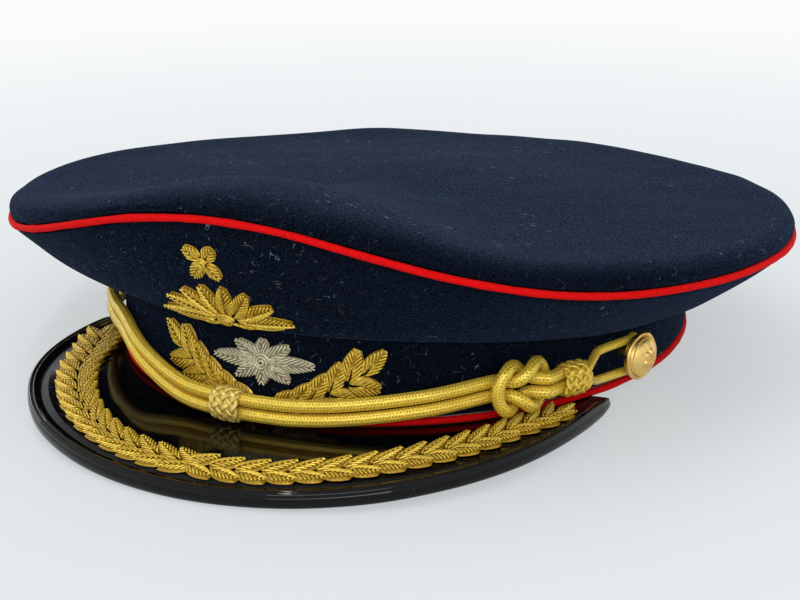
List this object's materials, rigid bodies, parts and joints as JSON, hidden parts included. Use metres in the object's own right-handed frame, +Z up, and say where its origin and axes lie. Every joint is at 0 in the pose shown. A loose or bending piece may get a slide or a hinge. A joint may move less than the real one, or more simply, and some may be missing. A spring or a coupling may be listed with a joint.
{
  "type": "military peaked cap",
  "caption": "Dark blue wool peaked cap with a wide piped crown, patent visor with a leaf garland, embroidered badge and a gold chin cord with slide knots.",
  "frame": {"origin": "on the table under the middle of the cap's overall box, with the cap resting on its visor edge and the back of its band", "axes": "+Z up, -Y to the front (visor), +X to the wearer's left"},
  "size_m": [0.2536, 0.2658, 0.0819],
  "materials": {
    "wool_cloth": "matte felted wool",
    "red_piping": "matte woven cord",
    "sweatband_leather": "satin",
    "stiffener_board": "matte",
    "spring_steel": "drawn wire",
    "wire_ferrule": "drawn tube",
    "wadding": "soft fleece",
    "crown_lining": "satin weave",
    "clear_film": "clear gloss",
    "stay_plastic": "matte",
    "patent_leather": "patent, high gloss",
    "visor_underside": "matte grained",
    "gold_bullion": "metal wire embroidery",
    "silver_bullion": "metal wire embroidery",
    "gold_cord": "braided metal thread",
    "gilt_brass": "polished"
  },
  "bodies": {
    "root": {"sweatband": "sweatband_leather", "band_stiffener": "stiffener_board", "band_cloth": "wool_cloth", "band_piping": "red_piping", "front_quarter": "wool_cloth", "left_quarter": "wool_cloth", "back_quarter": "wool_cloth", "right_quarter": "wool_cloth", "crown_top": "wool_cloth", "crown_piping": "red_piping", "crown_wire": "spring_steel", "crown_wire_ferrule": "wire_ferrule", "crown_wadding": "wadding", "crown_lining": "crown_lining", "sweat_shield": "clear_film", "front_stay": "stay_plastic", "visor_shell": "patent_leather", "visor_lining": "visor_underside", "visor_binding": "patent_leather", "garland_left": "gold_bullion", "garland_right": "gold_bullion", "badge_wreath": "gold_bullion", "badge_star": "silver_bullion", "badge_palmette": "gold_bullion", "badge_rosette": "gold_bullion", "button_washers": "gilt_brass"},
    "chin_cord": {"cord_long": "gold_cord", "cord_short": "gold_cord"},
    "front_knot": {"front_slide_knot": "gold_cord"},
    "side_knot": {"side_slide_knot": "gold_cord"},
    "left_button": {"left_button_cap": "gilt_brass", "left_button_back": "gilt_brass", "left_button_shank": "gilt_brass"},
    "right_button": {"right_button_cap": "gilt_brass", "right_button_back": "gilt_brass", "right_button_shank": "gilt_brass"}
  },
  "joints": [
    {"name": "left_button_spin", "type": "hinge", "parent": "root", "child": "left_button", "pos_m": [0.08493, -0.00959, 0.01654], "axis": [0.9714, -0.2373, 0.0086], "continuous": true},
    {"name": "right_button_spin", "type": "hinge", "parent": "root", "child": "right_button", "pos_m": [-0.08493, -0.00959, 0.01654], "axis": [-0.9714, -0.2373, 0.0086], "continuous": true},
    {"name": "chin_cord_lift", "type": "hinge", "parent": "root", "child": "chin_cord", "pos_m": [0, -0.01059, 0.01658], "axis": [-1, 0, 0], "range_deg": [0, 4]},
    {"name": "front_knot_slide", "type": "hinge", "parent": "chin_cord", "child": "front_knot", "pos_m": [0, -0.00973, 0.01034], "axis": [0, 0.0361, 0.9993], "range_deg": [-6, 6]},
    {"name": "side_knot_slide", "type": "slide", "parent": "chin_cord", "child": "side_knot", "axis": [0.4711, 0.8815, -0.0318], "range_m": [-0.0006, 0.0015]}
  ]
}
